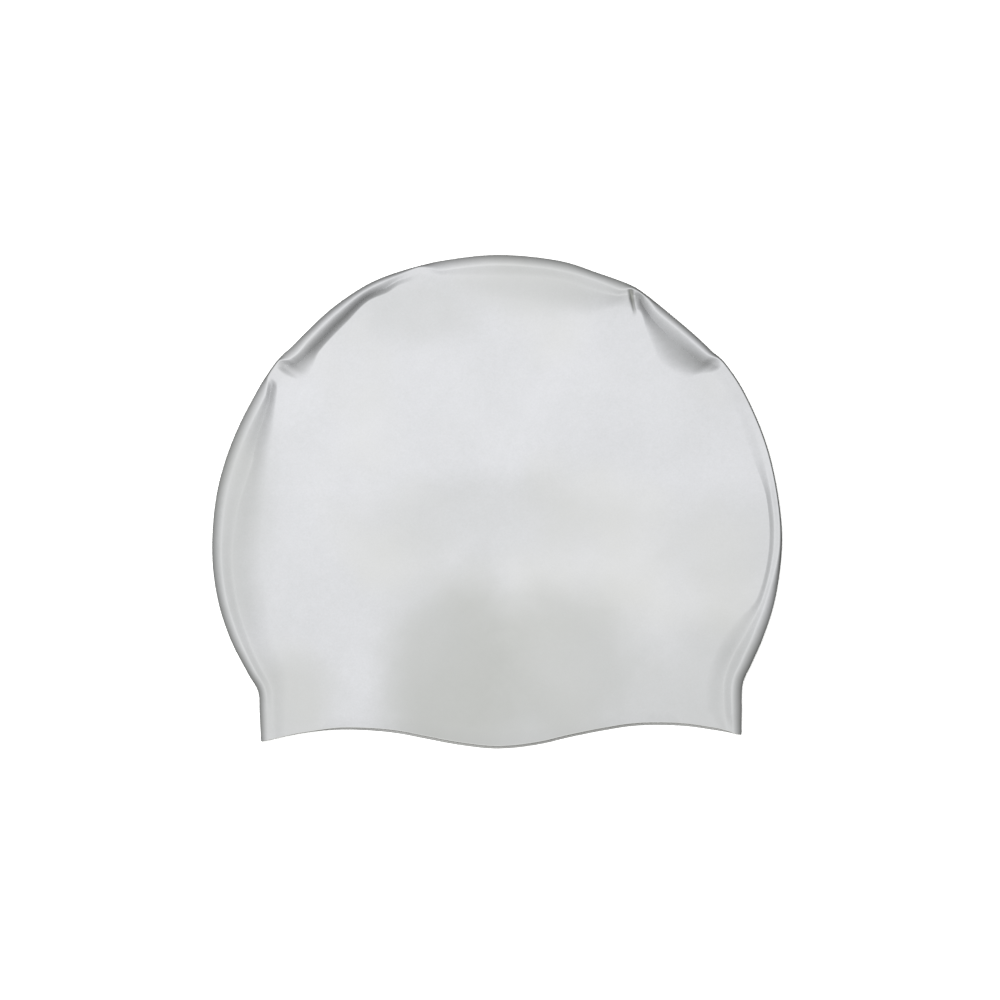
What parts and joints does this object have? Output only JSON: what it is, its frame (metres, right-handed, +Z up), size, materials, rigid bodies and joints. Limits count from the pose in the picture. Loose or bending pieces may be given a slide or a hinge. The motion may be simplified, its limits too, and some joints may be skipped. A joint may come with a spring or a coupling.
{
  "type": "swim cap",
  "caption": "Moulded silicone swim cap lying flat: one thin domed shell with rolled edges, edge folds and an open wavy mouth.",
  "frame": {"origin": "middle of the cap's footprint, on the surface it lies on", "axes": "+X across the cap from its left side to its right as seen from above, +Y from the mouth to the crown, +Z up out of the surface it lies on"},
  "size_m": [0.2199, 0.1905, 0.0105],
  "materials": {
    "silicone": "satin pearl grey silicone"
  },
  "bodies": {
    "root": {"cap_shell": "silicone"}
  },
  "joints": []
}
